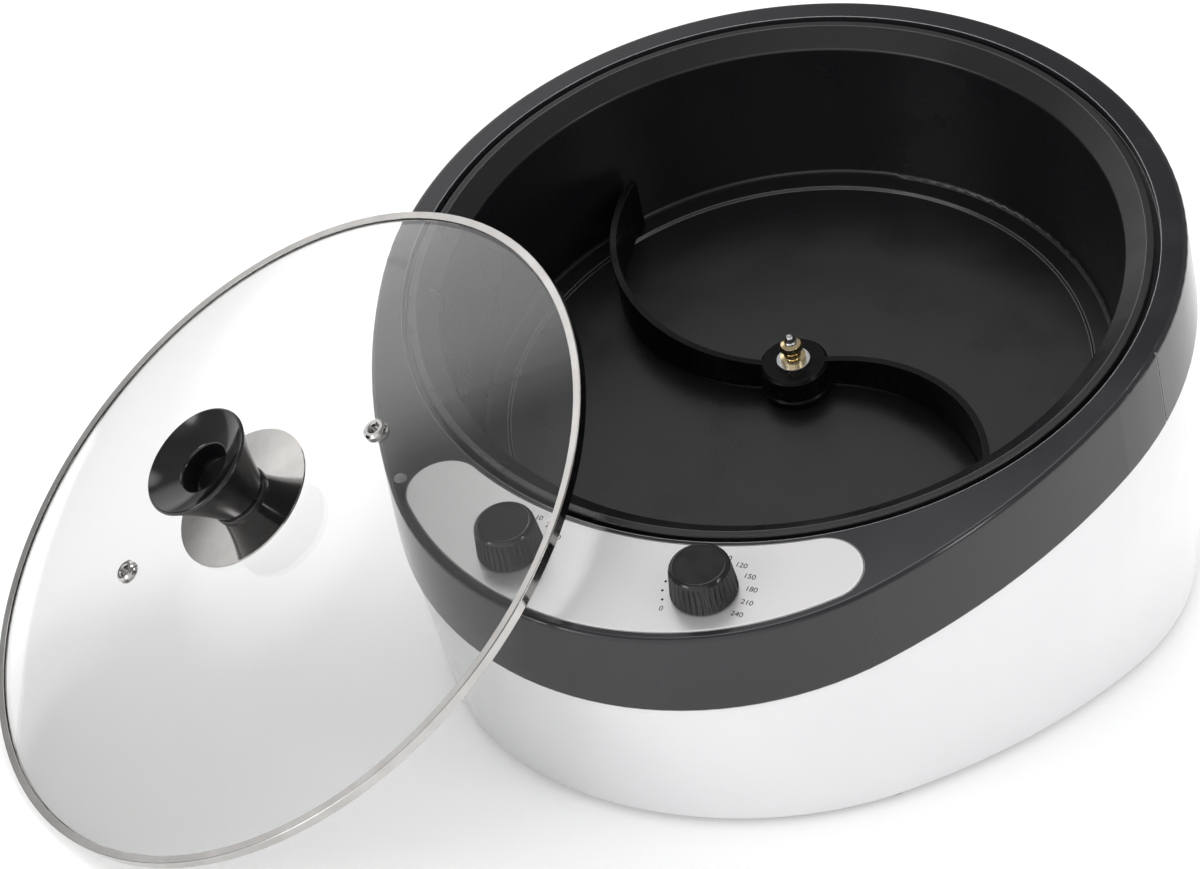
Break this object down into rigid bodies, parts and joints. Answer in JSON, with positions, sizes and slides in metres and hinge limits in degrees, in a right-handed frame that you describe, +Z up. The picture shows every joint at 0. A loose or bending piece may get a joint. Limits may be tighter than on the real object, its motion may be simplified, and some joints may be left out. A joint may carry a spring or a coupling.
{
  "type": "coffee roaster",
  "caption": "Countertop stirring coffee bean roaster: sloping egg-shaped housing, round non-stick pan with an S-shaped blade, two dials and a loose domed glass lid.",
  "frame": {"origin": "on the worktop, in the middle of the footprint of the machine and its leaning lid", "axes": "+Z up, -Y to the front where the dials are, +X to the right seen from the front"},
  "size_m": [0.4428, 0.4848, 0.2099],
  "materials": {
    "black_gloss_plastic": "semi-gloss moulded",
    "white_gloss_plastic": "gloss moulded",
    "grey_plastic": "matte moulded",
    "rubber": "matte",
    "zinc_steel": "zinc plated",
    "satin_panel": "satin",
    "lens_plastic": "smoke-clear plastic, dark when off",
    "lamp_glass": "clear",
    "nonstick": "non-stick coating",
    "element_steel": "heat-darkened",
    "switch_plastic": "matte",
    "brass": "polished",
    "motor_steel": "machined",
    "blade_black": "satin coating",
    "dial_plastic": "semi-gloss",
    "rim_steel": "polished",
    "clear_glass": "clear, faint green",
    "knob_black": "gloss phenolic"
  },
  "bodies": {
    "machine": {"top_frame": "black_gloss_plastic", "lower_housing": "white_gloss_plastic", "base_plate": "grey_plastic", "rubber_feet": "rubber", "base_screws": "zinc_steel", "frame_screws": "zinc_steel", "control_panel": "satin_panel", "indicator_lens": "lens_plastic", "indicator_lamp": "lamp_glass", "cable_inlet": "rubber", "terminal_block": "switch_plastic", "roasting_pan": "nonstick", "heating_element": "element_steel", "element_clamps": "zinc_steel", "thermal_cutout": "switch_plastic", "sensor_bulb": "element_steel", "heat_shield": "zinc_steel", "shield_screws": "zinc_steel", "shaft_bush": "brass", "shaft_seal": "rubber", "spacer_sleeve": "zinc_steel", "bush_nut": "brass", "gear_motor": "motor_steel", "motor_standoffs": "zinc_steel", "motor_screws": "zinc_steel", "timer_body": "switch_plastic", "timer_nut": "zinc_steel", "thermostat_body": "switch_plastic", "thermostat_nut": "zinc_steel"},
    "agitator": {"drive_shaft": "motor_steel", "drive_coupling": "motor_steel", "output_shaft": "motor_steel", "stirrer": "blade_black", "shaft_washer": "zinc_steel", "shaft_nut": "brass"},
    "left_dial": {"left_spindle": "motor_steel", "left_knob": "dial_plastic"},
    "right_dial": {"right_spindle": "motor_steel", "right_knob": "dial_plastic"},
    "lid": {"lid_rim": "rim_steel", "lid_glass": "clear_glass", "vent_eyelets": "rim_steel", "lid_knob_plate": "rim_steel", "lid_knob": "knob_black", "lid_knob_screw": "rim_steel", "lid_knob_washer": "rim_steel"}
  },
  "joints": [
    {"name": "stirrer_spin", "type": "hinge", "parent": "machine", "child": "agitator", "pos_m": [0.05988, 0.02928, 0.15499], "axis": [0, -0.309, 0.9511], "continuous": true},
    {"name": "left_dial_turn", "type": "hinge", "parent": "machine", "child": "left_dial", "pos_m": [0.02173, -0.13042, 0.1031], "axis": [0, 0.309, -0.9511], "range_deg": [0, 300]},
    {"name": "right_dial_turn", "type": "hinge", "parent": "machine", "child": "right_dial", "pos_m": [0.09803, -0.13042, 0.1031], "axis": [0, 0.309, -0.9511], "range_deg": [0, 270]},
    {"name": "lid_lift", "type": "slide", "parent": "machine", "child": "lid", "axis": [-0.3335, -0.5243, 0.7835], "range_m": [0, 0.25]}
  ]
}
